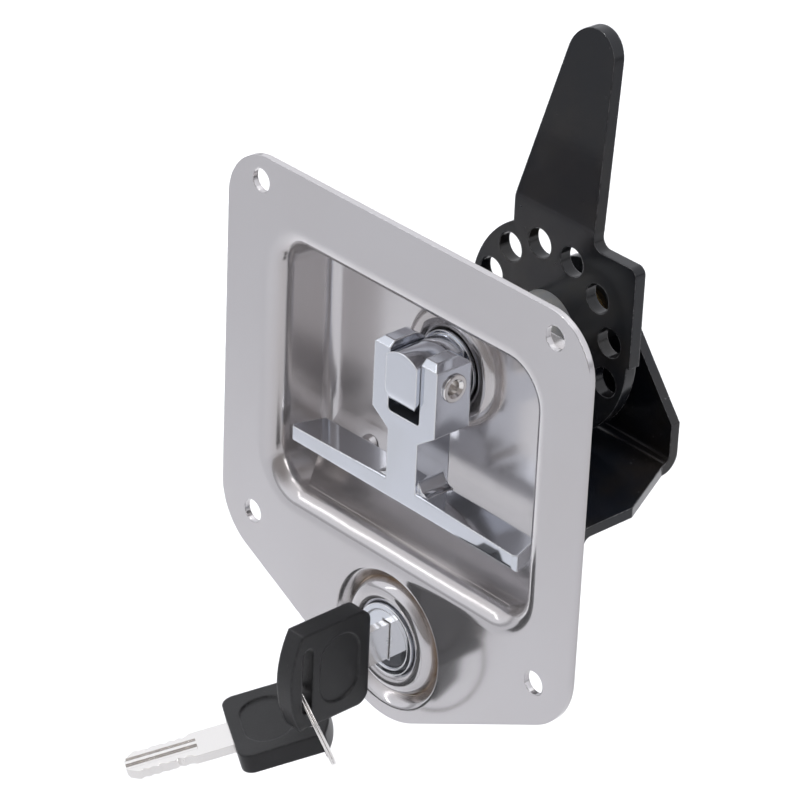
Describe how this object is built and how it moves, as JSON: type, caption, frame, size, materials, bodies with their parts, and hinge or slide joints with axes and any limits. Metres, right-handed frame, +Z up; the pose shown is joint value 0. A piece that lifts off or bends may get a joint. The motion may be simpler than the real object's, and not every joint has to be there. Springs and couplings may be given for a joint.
{
  "type": "trailer door latch",
  "caption": "Flush trailer door latch with a stainless face pan, folding T-handle, black cam with a rear bracket, keyed lock and a spare key on a wire ring",
  "frame": {"origin": "centre of the four screw holes, on the flange's rear face", "axes": "X to the right seen from outside, Y into the door, Z up"},
  "size_m": [0.1134, 0.1102, 0.1645],
  "materials": {
    "stainless_sheet": "polished",
    "chrome_parts": "mirror",
    "zinc_steel": "satin",
    "black_coat": "gloss",
    "dark_spring": "oiled",
    "black_plastic": "matte",
    "brass_parts": "satin",
    "nickel_key": "nickel plated",
    "key_plastic": "fine grain",
    "ring_wire": "bright drawn"
  },
  "bodies": {
    "case": {"face_pan": "stainless_sheet", "rear_bracket": "black_coat", "bracket_rivets": "stainless_sheet", "spindle_bush": "black_plastic", "end_bush": "brass_parts", "lock_body": "chrome_parts", "lock_nut": "zinc_steel"},
    "spindle": {"spindle": "chrome_parts", "spring_washer": "dark_spring", "front_sleeve": "zinc_steel", "stop_plate": "zinc_steel", "rear_sleeve": "zinc_steel", "cam_arm": "black_coat", "cam_washer": "zinc_steel", "cam_nut": "zinc_steel", "end_clip": "dark_spring"},
    "handle": {"t_handle": "chrome_parts", "pivot_pin": "zinc_steel"},
    "plug": {"lock_plug": "chrome_parts", "lock_wafers": "brass_parts", "lock_tail": "zinc_steel", "tail_washer": "zinc_steel", "tail_screw": "zinc_steel"},
    "key": {"key_blade": "nickel_key", "key_head": "key_plastic"},
    "ring": {"key_ring": "ring_wire"},
    "spare_key": {"spare_key_blade": "nickel_key", "spare_key_head": "key_plastic"}
  },
  "joints": [
    {"name": "spindle_turn", "type": "hinge", "parent": "case", "child": "spindle", "pos_m": [0, 0.0205, 0.0104], "axis": [0, 1, 0], "range_deg": [0, 90]},
    {"name": "handle_fold", "type": "hinge", "parent": "spindle", "child": "handle", "pos_m": [0, 0.0056, 0.012], "axis": [-1, 0, 0], "range_deg": [0, 90]},
    {"name": "plug_turn", "type": "hinge", "parent": "case", "child": "plug", "pos_m": [0, 0.01, -0.0532], "axis": [0, 1, 0], "range_deg": [0, 90]},
    {"name": "key_slide", "type": "slide", "parent": "plug", "child": "key", "axis": [0, -1, 0], "range_m": [0, 0.03]},
    {"name": "ring_swing", "type": "hinge", "parent": "key", "child": "ring", "pos_m": [0, -0.0267, -0.05755], "axis": [1, 0, 0], "range_deg": [-3, 8]},
    {"name": "spare_swing", "type": "hinge", "parent": "ring", "child": "spare_key", "pos_m": [-0.01198, -0.01339, -0.07412], "axis": [0.8695, -0.4939, 0], "range_deg": [-5, 5]}
  ],
  "couplings": [
    {"joint": "spindle_turn", "follows": "handle_fold", "ratio": 1}
  ]
}
